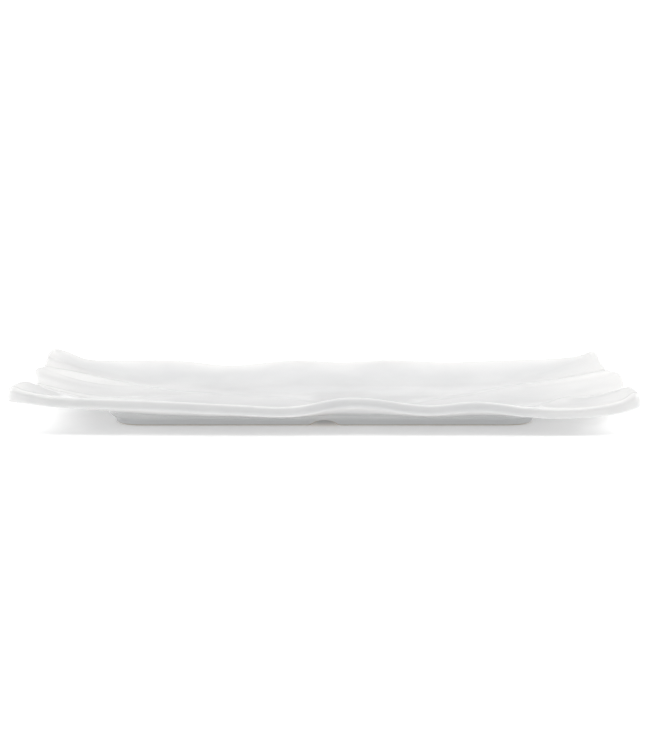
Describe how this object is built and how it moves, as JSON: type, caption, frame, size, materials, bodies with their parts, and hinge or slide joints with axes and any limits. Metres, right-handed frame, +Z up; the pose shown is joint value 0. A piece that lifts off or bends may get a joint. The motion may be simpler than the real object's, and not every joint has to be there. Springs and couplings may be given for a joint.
{
  "type": "serving platter",
  "caption": "Long rectangular china serving platter with a wavy rolled rim, fluted ends, a shallow well and a rectangular foot ring.",
  "frame": {"origin": "on the table under the middle of the platter's outline, at the level of the foot's contact edge", "axes": "+X along the length towards the right end, +Y from the front rim to the back rim, +Z up out of the well"},
  "size_m": [0.41, 0.1928, 0.0316],
  "materials": {
    "fired_clay": "matte fired white china, covered by glaze all over",
    "bare_clay": "unglazed, fine sanded biscuit at the contact edge",
    "glaze": "clear gloss glaze over white, soft and even",
    "foot_glaze": "gloss glaze, wiped back above the contact edge",
    "base_glaze": "gloss glaze with fine pinholes"
  },
  "bodies": {
    "root": {"dish_body": "fired_clay", "foot_ring": "bare_clay", "outer_glaze": "glaze", "foot_glaze": "foot_glaze", "base_glaze": "base_glaze"}
  },
  "joints": []
}
